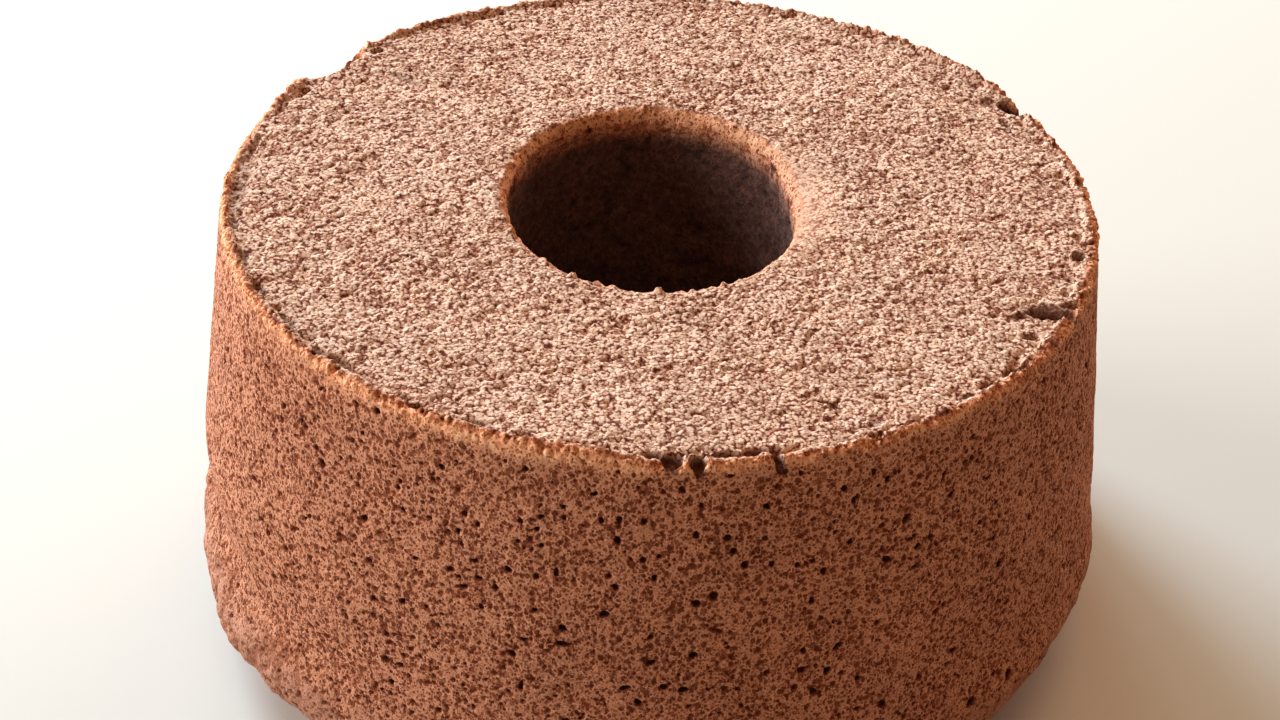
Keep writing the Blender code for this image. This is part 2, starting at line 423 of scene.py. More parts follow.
# the plain ones stand for the front, where the scattered ones therefore thin out
front = np.exp(-(((np.degrees(TH) + 84 + 180) % 360 - 180) / 34.0) ** 4) \
    * smooth((46 * MM - from_top) / (8 * MM))
big = np.clip(size_rng.lognormal(math.log(0.46), 0.24, 4000), 0.36, 0.85) * MM
mid = np.clip(size_rng.lognormal(math.log(0.41), 0.22, 60000), 0.30, 0.68) * MM
found_big = sow(np.clip(0.35 + 0.55 * clump, 0.03, 1) * (1 - 0.75 * crust)
                * smooth((from_top + 1.5 * MM) / (4 * MM)) * (1 - 0.80 * front),
                big, big + 0.50 * MM, int(0.055 * side_area), blocked, SEED + 2)
blocked_mid = blocked.copy()
found_mid = sow(np.clip(0.55 + 0.45 * clump, 0.08, 1) * (1 - 0.55 * crust),
                mid, mid + 0.46 * MM, int(0.25 * side_area), blocked_mid, SEED + 3)
print("pores:", len(found_big), "big,", len(found_mid), "middling, per mm2",
      round(len(found_mid) / side_area, 3))
# some big pores run into a neighbour, mostly sideways
for i, j, r in found_big:
    depth = 0.3 * MM + r * 0.7
    flatter = 1.0 + 0.5 * smooth((row_s[i] - WALL0 - 28 * MM) / (12 * MM))
    pores.append((i, j, r, depth, pore_rng.uniform(0.75, 1.15) * flatter,
                  pore_rng.normal(0, 0.5), pore_rng.uniform(0.44, 0.76)))
    if pore_rng.random() < 0.22:
        step = int(pore_rng.choice([-3, -2, 2, 3]))
        up = int(pore_rng.choice([-1, 0, 0, 1]))
        if 2 < i + up < side_rows - 2:
            pores.append((i + up, (j + step) % SIDE_COLUMNS, r * pore_rng.uniform(0.6, 0.9),
                          depth * 0.8, 1.0, pore_rng.normal(0, 0.6), 0.62))
for i, j, r in found_mid:
    pores.append((i, j, r, r * pore_rng.uniform(0.4, 1.1), pore_rng.uniform(0.8, 1.1),
                  pore_rng.uniform(-0.5, 0.5), 0.26 + 0.30 * pore_rng.random() ** 1.2))
pore = np.array(pores)
pi_, pj_ = pore[:, 0].astype(int), pore[:, 1].astype(int)
wave = pore_rng.uniform(0, math.tau, (len(pore), 2))

near_t = np.full(TH.shape, 9.0)
owner = np.full(TH.shape, -1)
off_x = np.zeros(TH.shape)
off_y = np.zeros(TH.shape)
for di in range(-6, 7):
    for dj in range(-6, 7):
        some_pores = np.flatnonzero(pore[:, 2] * 1.9 > 0.35 * MM * math.hypot(di, dj))
        pr = pore[some_pores]
        ci, cj = pi_[some_pores], pj_[some_pores]
        ii, jj = ci + di, (cj + dj) % SIDE_COLUMNS
        ok = (ii >= 0) & (ii < side_rows)
        ii = np.clip(ii, 0, side_rows - 1)
        dth = (TH[ii, jj] - TH[ci, cj] + math.pi) % math.tau - math.pi
        dx = dth * RR[ci, cj]
        dy = SS[ii, jj] - SS[ci, cj]
        c, s_ = np.cos(pr[:, 5]), np.sin(pr[:, 5])
        ax = (dx * c + dy * s_) / np.sqrt(pr[:, 4])
        ay = (-dx * s_ + dy * c) * np.sqrt(pr[:, 4])
        phi = np.arctan2(ay, ax)
        radius = pr[:, 2] * (1 + 0.11 * np.sin(2 * phi + wave[some_pores, 0])
                             + 0.10 * np.sin(3 * phi + wave[some_pores, 1]))
        t = np.hypot(ax, ay) / radius
        better = ok & (t < near_t[ii, jj])
        # a net point is met once only for each offset, so plain assignment is safe
        near_t[ii[better], jj[better]] = t[better]
        owner[ii[better], jj[better]] = some_pores[better]
        off_x[ii[better], jj[better]] = dx[better]
        off_y[ii[better], jj[better]] = dy[better]
t = near_t
own = np.maximum(owner, 0)
pull = np.where(t < 0.75, 0.88 * t, np.where(t < 1.6, 1 + (t - 1) * 0.42, t))
ratio = np.where((t > 1e-6) & (t < 1.6), pull / np.maximum(t, 1e-6), 1.0)
inside = owner >= 0
TH = np.where(inside, TH[pi_[own], pj_[own]] + off_x * ratio / RR, TH)
SS = np.where(inside, SS[pi_[own], pj_[own]] + off_y * ratio, SS)
fall = np.clip(1 - np.clip(pull, 0, 1) ** 3.6, 0, 1)
pit_depth = np.where((t < 1.02) & inside, pore[own, 3] * fall, 0.0)
rim = np.where((t >= 1.0) & (t < 1.6) & inside, (1.6 - t) / 0.6, 0.0)

theta[sl] = TH.reshape(-1)
run[sl] = SS.reshape(-1)
out = np.zeros(POINTS)
# painted shade in crevices, pits, grooves and creases, from 0 to 1
recess_shade = np.zeros(POINTS)
ring = np.full(POINTS, 2.0)     # how far from the nearest modelled pore, 1 at its rim
# painted shade inside the modelled pores
pore_shade = np.zeros(POINTS)         # how dark that pore is
out[sl] = (-pit_depth + 0.05 * MM * rim).reshape(-1)
ring[sl] = np.where(inside, np.clip(pull, 0, 2), 2.0).reshape(-1)
pore_shade[sl] = np.where(inside, pore[own, 6], 0.0).reshape(-1)

# ---------------------------------------------------------------- crumb of every region
r_now, z_now = base_r(run), base_z(run)
degrees = (np.degrees(theta) + 180) % 360 - 180
flat = place(theta, run, np.zeros(POINTS))     # smooth body, used to steer the noises
is_top = np.isin(zone, ("top", "hole_edge", "lip", "edge"))
is_side = np.isin(zone, ("wall", "roll"))
is_tube = np.isin(zone, ("tube", "inner_roll"))
foot_flat = zone == "foot"
top_mask = smooth((z_now - (HEIGHT - 0.9 * MM)) / (0.9 * MM)) * (r_now > 0.026)
top_mask = np.where(is_tube | foot_flat, 0.0, top_mask)
down = np.maximum(0.0, HEIGHT - z_now)
outer = (r_now > 0.066) & (z_now > HEIGHT - 9 * MM)
white = rng.uniform(-1, 1, POINTS)
around = np.stack([np.cos(theta) * TOP_RADIUS, np.sin(theta) * TOP_RADIUS, 0 * theta], -1)
calm = np.zeros(POINTS)        # where the crumb is pressed smooth
torn_shade = np.zeros(POINTS)        # painted shade in the torn hollows and nibbles


def bell(value, middle, width):
    return np.exp(-((value - middle) / width) ** 2)


# top face: clumps of crumbs with crevices between them
f1, f2, tag = cells(flat * (1, 1, 0.3), 1.22 * MM, 5)
n1, n2, ntag = cells(flat * (1, 1, 0.3), 0.70 * MM, 9)
g1, g2, gtag = cells(flat * (1, 1, 0.3), 2.7 * MM, 6)
lump = np.clip(1 - (f1 / 0.66) ** 2, -0.8, 1)
bead = np.clip(1 - (n1 / 0.66) ** 2, -0.8, 1)
clod = np.clip(1 - (g1 / 0.75) ** 2, -0.6, 1)
swell = value_noise(flat, 3.6 * MM, 10) * 0.30 + value_noise(flat, 6.0 * MM, 7) * 0.35 \
    + value_noise(flat, 13 * MM, 8) * 0.45
crack = smooth((0.20 - (g2 - g1)) / 0.18) * smooth((value_noise(flat, 4.0 * MM, 14) + 0.05) / 0.5)
speck = smooth((0.36 - f1) / 0.20) * (tag > 0.955)
top_out = (0.23 * lump * (0.4 + 1.0 * tag) + 0.07 * bead * (0.5 + 0.9 * ntag)
           + 0.15 * clod * (0.6 + 0.8 * gtag) + 0.20 * swell - 0.25 * crack - 0.65 * speck - 0.17) * MM
# painted shade in the crevices and pits of the top, a little darker on low ground and lighter on high ground
crevice_shade = smooth((0.30 - (f2 - f1)) / 0.30) * 0.58 + crack * 0.45 + 0.9 * speck \
    + 0.12 * smooth(-swell / 0.6) - 0.10 * smooth(swell / 0.6)

# hole edge: worn round on the right, crumbly elsewhere
worn = bell(degrees, 2.0, 34.0) * (r_now < 0.040) * (z_now > HEIGHT - 9 * MM)
shoulder = worn * smooth((0.0365 - r_now) / 0.0075)
calm = np.maximum(calm, 0.75 * shoulder)

# wall: the net between the pores is a little uneven
wall_rough = (0.10 * value_noise(flat, 3.0 * MM, 12) + 0.18 * value_noise(flat, 9 * MM, 13)
              + 0.045 * white) * MM
out = out + np.where(is_side | (zone == "edge"), wall_rough, 0.0)

# the lip of skin round the top: how proud it stands (mm) at angles from +X
LIP_STAND = (
    (-180, 0.45), (-170, 0.60), (-158, 0.70), (-146, 0.70), (-132, 0.70), (-118, 0.65),
    (-105, 0.72), (-96, 0.85), (-91, 0.30), (-87, -0.35), (-82, 0.50), (-76, 0.75), (-72, 0.85),
    (-60, 0.65), (-48, 0.65), (-36, 0.55), (-26, 0.30), (-15, 0.25), (0, 0.22), (14, 0.28),
    (24, 0.45), (26, 0.75), (28.5, 0.1), (31, 0.0), (33, 0.2), (34.8, 1.0), (38, 1.0), (44, 0.85),
    (49.5, 1.00), (51, 0.6), (58, 1.0), (61.5, 1.0), (64, 0.5), (68, 0.55), (78, 0.40), (92, 0.50),
    (104, 0.35), (118, 0.35), (128, 0.60), (134, 0.5), (137.5, 0.2), (139.0, 0.25), (140.4, 0.30),
    (141.8, -1.0), (146, -2.0), (151.0, -2.2), (153.6, 0.60), (156, 0.70), (160, 0.0), (168, -0.35),
    (180, 0.20),
)
stand = np.interp(degrees, [a for a, _ in LIP_STAND], [h for _, h in LIP_STAND])
ragged = 0.34 * value_noise(around, 3.2 * MM, 21) + 0.06 * value_noise(around, 1.6 * MM, 23) \
    + 0.22 * value_noise(around, 7 * MM, 22)
stand = (stand + ragged * (0.55 + 0.45 * np.clip(stand, 0, 2))) * MM
inner_r = 74.2 + 0.50 * value_noise(around, 3.6 * MM, 28) + 0.12 * value_noise(around, 1.7 * MM, 29)
band = np.where(outer, smooth((r_now / MM - inner_r) / 0.75), 0.0)
rise = stand * band * (1 - smooth((down - 0.3 * MM) / (1.8 * MM)))
# the lip's inner face, used only to paint shade on it
inner_face = np.where(outer, bell(r_now / MM, inner_r + 0.1, 0.45), 0) * smooth(stand / (0.9 * MM)) \
    * (down < 0.5 * MM)
lifted = flat + np.stack([0 * rise, 0 * rise, rise], -1)
e1, e2, etag = cells(lifted, 1.15 * MM, 24)
knob = np.clip(1 - (e1 / 0.66) ** 2, -0.6, 1)
lip_zone = np.where(outer, smooth((r_now / MM - 73.9) / 0.9) * (1 - smooth((down - 0.3 * MM) / (2.0 * MM))), 0.0)
lip_zone = lip_zone * (0.55 + 0.45 * smooth((value_noise(lifted, 5 * MM, 35) + 0.3) / 0.6))
out = out + lip_zone * (0.58 * knob * (0.35 + etag) + 0.03 * white
                        + 0.28 * value_noise(lifted, 2.1 * MM, 25)
                        + 0.14 * value_noise(lifted, 0.95 * MM, 37) + 0.04) * MM
# groove of torn crumb just inside the lip
grooved = smooth((value_noise(around, 6.0 * MM, 26) + 0.5 * value_noise(around, 2.2 * MM, 27)
                  + 0.55 * smooth((stand - 0.5 * MM) / (0.6 * MM)) - 0.45) / 0.35)
groove = np.where(outer, bell(r_now / MM, inner_r - 0.8, 0.60), 0.0) * grooved * (down < 0.5 * MM)

# tears and nibbles of the top: x, y of the middle (mm, from the cake's axis), the way the
# long side runs (degrees), half length, half width, depth, how dark the painted shade in it is,
# how much shallower the far (left-hand) side of the long way is, and how soft its edge is.
# Angles near the rim are easier by turn and radius.


def at(deg, rad):
    a = math.radians(deg)
    return rad * math.cos(a), rad * math.sin(a)


def rim_cut(deg, rad, half_t, half_r, depth, tone=0.75, easy=0.0, sharp=0.45):
    return (*at(deg, rad), deg + 90, half_t, half_r, depth, tone, easy, sharp)


CUTS = (
    # the torn hollow on the right, with its slot and the pits in front of it
    (66.0, -28.8, 4.0, 3.4, 1.8, 2.2, 0.85, 0.80, 0.80),
    (66.7, -29.6, 6.0, 2.5, 1.2, 3.0, 1.0, 0.0, 0.60),
    (69.2, -29.8, -38.0, 1.4, 0.9, 1.0, 0.9, 0.0, 0.40),
    (69.6, -27.0, 20.0, 1.5, 0.9, 0.9, 0.7, 0.3, 0.5),
    (61.6, -30.4, 10.0, 1.6, 0.8, 1.0, 0.7, 0.3, 0.5),
    (62.6, -36.2, 25.0, 1.4, 0.7, 0.9, 0.75, 0.2, 0.5),
    (65.4, -37.9, 10.0, 0.9, 0.55, 0.7, 0.75, 0.2, 0.5),
    (58.3, -46.2, 38.0, 2.7, 0.75, 1.1, 0.8, 0.2, 0.45),
    (54.6, -50.0, 36.0, 2.4, 0.75, 1.1, 0.85, 0.2, 0.45),
    (50.6, -53.6, 30.0, 1.5, 0.6, 0.7, 0.7, 0.2, 0.45),
    rim_cut(-9.5, 73.7, 1.3, 1.0, 1.2, 0.75),
    # nibbled front edge: two hollows with a ridge between, a trench, a notch through
    rim_cut(-87.0, 74.7, 1.85, 1.65, 1.8, 0.95, 0.0, 0.45),
    rim_cut(-89.3, 73.7, 1.5, 0.8, 0.9, 0.75),
    rim_cut(-83.9, 75.2, 1.15, 1.5, 1.7, 1.0, 0.0, 0.45),
    rim_cut(-80.2, 73.3, 2.0, 0.75, 1.0, 0.80),
    rim_cut(-76.8, 73.2, 1.9, 0.8, 1.1, 0.90),
    (*at(-74.4, 75.6), 108.0, 1.8, 0.80, 1.9, 1.0, 0.0, 0.45),
    rim_cut(-61.7, 74.6, 1.2, 0.7, 0.9, 0.75),
    rim_cut(-60.2, 71.8, 1.4, 0.6, 0.5, 0.5),
    rim_cut(-56.3, 74.4, 2.0, 0.6, 0.8, 0.70),
    (29.6, -57.7, 20.0, 0.8, 0.6, 0.9, 0.8, 0.1, 0.4),
    rim_cut(-96.5, 74.2, 2.6, 0.6, 0.6, 0.6),
    rim_cut(-104.6, 73.9, 1.5, 0.6, 0.8, 0.75),
    rim_cut(-111.5, 73.6, 2.3, 0.65, 0.7, 0.65),
    rim_cut(-118.9, 74.6, 1.5, 0.9, 1.3, 0.85),
    rim_cut(-121.6, 73.4, 1.3, 0.7, 0.7, 0.65),
    # left edge
    rim_cut(-132.6, 73.0, 2.3, 0.9, 1.1, 0.60),
    rim_cut(-136.4, 73.9, 1.7, 0.7, 0.8, 0.55),
    rim_cut(-143.5, 73.6, 2.2, 0.65, 0.7, 0.50),
    rim_cut(-151.7, 74.0, 2.4, 0.8, 1.0, 0.55),
    rim_cut(-159.0, 74.2, 2.6, 0.6, 0.7, 0.45),
    rim_cut(-168.0, 74.2, 2.2, 0.7, 0.7, 0.45),
    rim_cut(-177.0, 73.9, 2.6, 0.8, 0.8, 0.50),
    rim_cut(172.0, 73.9, 3.0, 0.7, 0.7, 0.45),
    rim_cut(162.0, 74.0, 2.4, 0.6, 0.6, 0.40),
    rim_cut(-178.5, 73.7, 11.0, 1.5, 0.8, 0.34, 0.2, 0.8),
    # length of skin missing at the back left, and the step beside it
    rim_cut(146.7, 77.0, 7.3, 3.9, 3.8, 0.35),
    rim_cut(140.3, 72.6, 1.3, 0.8, 1.0, 0.80),
    (-50.0, 36.0, 145.0, 4.2, 0.9, 0.5, 0.35, 0.2, 0.8),
    # back right
    rim_cut(29.3, 75.3, 1.6, 2.5, 3.4, 1.0, 0.0, 0.45),
    rim_cut(30.3, 74.0, 2.4, 1.5, 2.4, 1.0, 0.0, 0.45),
    rim_cut(32.5, 71.6, 2.0, 0.8, 0.8, 0.6, 0.0, 0.55),
    rim_cut(26.3, 70.4, 1.9, 0.6, 0.7, 0.65),
    rim_cut(46.0, 76.4, 1.7, 1.3, 0.4, 0.5),
    rim_cut(61.5, 76.4, 1.9, 1.2, 0.3, 0.5),
    rim_cut(85.0, 76.0, 1.4, 0.9, 0.6, 0.5),
    rim_cut(100.0, 76.2, 2.0, 1.0, 0.6, 0.5),
    rim_cut(9.0, 75.7, 1.4, 0.8, 0.6, 0.5),
    rim_cut(18.0, 75.6, 1.0, 0.7, 0.7, 0.5),
)
# pressed or raised bits: x, y, long way, half length, half width, rise (mm), calm
LUMPS = (
    (67.2, -33.9, 22.0, 4.2, 1.2, 0.35, 0.35),
    (71.9, -29.0, 60.0, 1.5, 1.0, 0.95, 0.1),
    (*at(-85.5, 75.0), 95.0, 1.2, 0.42, 1.2, 0.2),
    (*at(-82.6, 75.9), 5.0, 0.9, 0.7, 0.35, 0.1),
    (*at(-77.5, 75.8), 10.0, 2.0, 0.6, 0.35, 0.1),
    (*at(-73.0, 75.9), 15.0, 0.7, 0.9, 0.55, 0.2),
    (*at(140.4, 75.3), 52.0, 1.5, 0.9, 0.5, 0.1),
)
wob = 0.26 * value_noise(flat, 1.5 * MM, 31) + 0.14 * value_noise(flat, 0.8 * MM, 32)
cx = np.minimum(r_now, 0.0765) / MM * np.cos(theta)
cy = np.minimum(r_now, 0.0765) / MM * np.sin(theta)
near_top = (z_now > HEIGHT - 4 * MM) & (r_now > 0.045)
cut = np.zeros(POINTS)
for x, y, way, half_l, half_w, depth, tone, easy, sharp in CUTS:
    c, s_ = math.cos(math.radians(way)), math.sin(math.radians(way))
    along = ((cx - x) * c + (cy - y) * s_) / half_l
    across = (-(cx - x) * s_ + (cy - y) * c) / half_w
    q = np.hypot(along, across) + wob
    part = smooth((1.0 + sharp * 0.5 - q) / sharp)
    d = depth * part * (1 - easy * smooth((across + 0.9) / 1.8))
    deeper = near_top & (d > cut)
    cut = np.where(deeper, d, cut)
    here = near_top & (down < (depth + 0.6) * MM)
    torn_shade = np.where(here, np.maximum(torn_shade, tone * smooth((1.0 + sharp * 0.6 - q) / (sharp * 0.8))), torn_shade)
    calm = np.where(here, np.maximum(calm, 0.06 * part), calm)
bump_up = np.zeros(POINTS)
for x, y, way, half_l, half_w, high, pressed in LUMPS:
    c, s_ = math.cos(math.radians(way)), math.sin(math.radians(way))
    q = np.hypot(((cx - x) * c + (cy - y) * s_) / half_l,
                 (-(cx - x) * s_ + (cy - y) * c) / half_w) + wob * 0.7
    part = smooth((1.25 - q) / 0.7)
    on = near_top & (down < 1.3 * MM)
    bump_up = np.where(on, np.maximum(bump_up, high * MM * part), bump_up)
    calm = np.where(on, np.maximum(calm, pressed * part), calm)
    torn_shade = np.where(on, torn_shade * (1 - part), torn_shade)
    cut = np.where(on, cut * (1 - 0.75 * part), cut)
kept = 1 - smooth(cut / 0.7)
grain = np.clip(1 - calm, 0.15, 1)
out = out + np.where(is_top, top_out * top_mask * grain, 0.0)
# the top's painted crevice shade
recess_shade = np.where(is_top, np.clip(crevice_shade * top_mask * grain, 0, 1), recess_shade)
# painted shade in the gaps between the lip's beads, in the groove and on the lip's inner face
lip_gap_shade = lip_zone * smooth((0.20 - (e2 - e1)) / 0.20) * 0.42
recess_shade = np.maximum(recess_shade, np.clip(lip_gap_shade + 0.85 * groove + 0.25 * inner_face * (r_now < 0.0755)
                              * smooth((value_noise(around, 4.5 * MM, 38) + 0.3) / 0.6), 0, 1) * kept)
drop = groove * 0.70 * MM * kept - np.where(stand > 0, rise * kept, rise) - bump_up
level = HEIGHT - cut * MM + MM * (0.05 * white + 0.36 * value_noise(flat, 0.9 * MM, 33)
                                  + 0.30 * value_noise(flat, 1.8 * MM, 39)) * smooth(cut / 0.6)

# hole: crumbs standing on its edge, torn wall inside
h1, h2, htag = cells(flat, 1.4 * MM, 41)
tube_out = (0.22 * np.clip(1 - (h1 / 0.7) ** 2, -0.5, 1) + 0.34 * value_noise(flat, 4 * MM, 43)
            + 0.22 * value_noise(flat, 2.1 * MM, 42) + 0.10 * white) * MM
out = out + np.where(zone == "tube", tube_out, 0)
# painted shade in the crevices of the torn wall inside the hole
recess_shade = np.where(zone == "tube", np.clip(smooth((0.26 - (h2 - h1)) / 0.3) * 0.5
                                       + 0.5 * smooth((value_noise(flat, 1.8 * MM, 46) - 0.35) / 0.4), 0, 1), recess_shade)
hole_rim = np.where((r_now < 0.034) & (z_now > HEIGHT - 4 * MM),
                    smooth(1 - np.abs(r_now - 0.0290) / (2.0 * MM)), 0.0)
crumbs = np.clip(value_noise(flat, 1.5 * MM, 44) + 0.5 * value_noise(flat, 0.8 * MM, 45) - 0.10, 0, 1)
out = out + hole_rim * crumbs * 0.80 * MM * (1 - 0.85 * worn)
for deg, rad, half, high in ((-87.0, 29.3, 1.3, 1.3), (-63.0, 29.0, 0.9, 0.8), (-118.0, 29.2, 1.0, 0.9),
                             (-152.0, 29.0, 0.9, 0.9), (-75.0, 29.0, 0.6, 0.5)):
    x, y = at(deg, rad)
    q = np.hypot((r_now / MM * np.cos(theta) - x) / half, (r_now / MM * np.sin(theta) - y) / 0.7) + wob
    out = out + np.where((z_now > HEIGHT - 3 * MM) & (r_now < 0.034), high * MM * smooth((1.1 - q) / 0.8), 0)
drop = drop + shoulder ** 2 * 1.3 * MM
# the worn side leans a little into the hole
lean = bell(degrees, 4.0, 30.0) * (r_now < 0.040) * smooth((z_now - (HEIGHT - 12 * MM)) / (8 * MM)) \
    * (1 - smooth((r_now - 0.0290) / 0.008)) * 1.3 * MM

# crown: creases running down the roll, skin that is smoother than the wall
FOLDED = ((-180, 1.0), (-150, 1.0), (-128, 0.75), (-112, 0.35), (-60, 0.25), (-40, 0.5), (-10, 0.7),
          (30, 0.5), (70, 0.6), (110, 0.5), (150, 0.8), (180, 1.0))
folded = np.interp(degrees, [a for a, _ in FOLDED], [h for _, h in FOLDED])
crown = smooth((run - (ROLL0 - 12 * MM * folded - 2 * MM)) / (10 * MM)) * is_side
swirl = np.stack([value_noise(flat, 5 * MM, 51), value_noise(flat, 5 * MM, 52),
                  value_noise(flat, 5 * MM, 58)], -1) * 1.1 * MM
k1, k2, ktag = cells((flat + swirl) * (1, 1, 0.62), 5.2 * MM, 60)
gap = smooth((0.20 - (k2 - k1)) / 0.20)
some = smooth((value_noise(flat, 9 * MM, 53) + 0.35) / 0.6)
crease = gap * some * crown * folded
billow = value_noise(flat, 7 * MM, 54) * 0.34 + value_noise(flat, 3.2 * MM, 55) * 0.16 \
    + 0.07 * value_noise(flat, 1.4 * MM, 59)
out = out + crown * (billow * MM * (0.5 + folded) - crease * 0.34 * MM
                     + 0.55 * MM * folded * some * (np.clip(1 - (k1 / 0.8) ** 2, -0.2, 1) - 0.45) * (0.6 + 0.8 * ktag))


def turned(middle):
    return (degrees - middle + 180) % 360 - 180


# the crown is fuller at the left and drawn in at the right
out = out + np.where(is_side, 1.3 * bell(turned(-153.0), 0, 16.0) * bell(z_now / MM, 12.0, 4.0)
                     - 2.5 * bell(turned(-166.0), 0, 32.0) * bell(z_now / MM, 23.5, 8.0)
                     - 0.9 * bell(turned(-171.0), 0, 13.0) * bell(z_now / MM, 13.5, 4.0)
                     - 2.4 * bell(turned(-138.0), 0, 16.0) * bell(z_now / MM, 2.8, 3.2)
                     - 0.9 * bell(turned(-42.0), 0, 12.0) * bell(z_now / MM, 2.6, 2.6)
                     - 1.35 * bell(turned(-28.0), 0, 14.0) * bell(z_now / MM, 10.5, 4.5), 0.0) * MM
# small steps of the wall low on the left, where the batter ran over the pan's rim
step_line = ROLL0 - 8.0 * MM + 3 * MM * value_noise(around, 13 * MM, 57)
steps = folded * is_side * (smooth((run - step_line) / (2.2 * MM)) - 0.6) * 0.45 * MM \
    * smooth((run - ROLL0 + 22 * MM) / (8 * MM)) * (1 - smooth((run - ROLL0 - 4 * MM) / (10 * MM)))
out = out + steps
# the crown stays off the board outside its foot, and the foot ring stays flat
out = np.where(foot_flat, 0.0, out)
near_foot = smooth((z_now - 0.2 * MM) / (1.6 * MM))
out = np.where(z_now < 2.0 * MM, out * near_foot, out)
# painted shade in the creases of the crown
recess_shade = np.clip(np.maximum(recess_shade, crease * 0.22), 0, 1)
# painted shade in a band along the left edge of the top, inside the raised lip
rim_shade = bell(turned(-179.0), 0, 13.0) * bell(r_now / MM, 73.2, 1.5) \
    * (0.80 + 0.35 * value_noise(flat, 2.2 * MM, 61))
recess_shade = np.where(is_top, np.clip(np.maximum(recess_shade, 0.80 * rim_shade), 0, 1), recess_shade)
crust_mask = smooth((run - (ROLL0 - 1.5 * MM - 5 * MM * folded) + 3.0 * MM * value_noise(flat, 5 * MM, 56))
                    / (6.5 * MM)) * is_side
crust_mask = np.clip(crust_mask + foot_flat * 1.0 + (zone == "inner_roll") * 0.8, 0, 1)

xyz = place(theta, run, out, drop, lean)
# the torn places are cut down to their floor, through the lip where they reach it
ground = level + lift(theta, r_now)
over = np.where(near_top & (cut > 0.05), np.maximum(0, xyz[:, 2] - ground), 0)
xyz[:, 2] = xyz[:, 2] - over
recess_shade = np.where(near_top, recess_shade * (1 - 0.6 * smooth(cut / 0.5)), recess_shade)
xyz[:, 2] = np.maximum(xyz[:, 2], 0.0)
edge_line = 0.55 * MM * value_noise(flat, 2.4 * MM, 34) + 0.35 * MM * value_noise(flat, 1.1 * MM, 36)
# painted glow: the lip's outer band and crest are painted paler and more orange, for light shining through the thin
# crumb and the highlight on its crest
wide_lip_glow = 0.5 * MM * bell(turned(-104.0), 0, 20.0)      # the pale lip is broadest at the front left
lip_glow = np.where(outer, (1 - smooth((down - 0.6 * MM - wide_lip_glow - edge_line) / (1.1 * MM)))
                    * smooth((r_now / MM - 74.8) / 0.9), 0.0)
# painted glow down the top of the wall, more orange and lighter near the edge, for light shining through the crumb
edge_glow_tone = np.where(is_side | (zone == "edge"), 1 - smooth((down - 0.8 * MM - 2 * edge_line) / (6.0 * MM)), 0.0)

# ------------------------------------------------------------------- point normals
va, vb, vc = xyz[triangles[:, 0]], xyz[triangles[:, 1]], xyz[triangles[:, 2]]
face_n = np.cross(vb - va, vc - va)
area = np.linalg.norm(face_n, axis=1)
normal = np.zeros((POINTS, 3))
for k in range(3):
    for axis in range(3):
        normal[:, axis] += np.bincount(triangles[:, k], face_n[:, axis], POINTS)
length = np.linalg.norm(normal, axis=1)
normal /= np.maximum(length, 1e-20)[:, None]
# make sure the strips face outwards: the top's normals point up
if normal[zone == "top", 2].mean() < 0:
    triangles = triangles[:, ::-1].copy()
    normal = -normal
keep = area > 1e-14
triangles = triangles[keep]

# ------------------------------------------------------------------------- materials
def node(tree, kind, **values):
    n = tree.nodes.new(kind)
    for key, value in values.items():
        if key.startswith("in_"):
            n.inputs[key[3:]].default_value = value
        else:
            setattr(n, key, value)
    return n


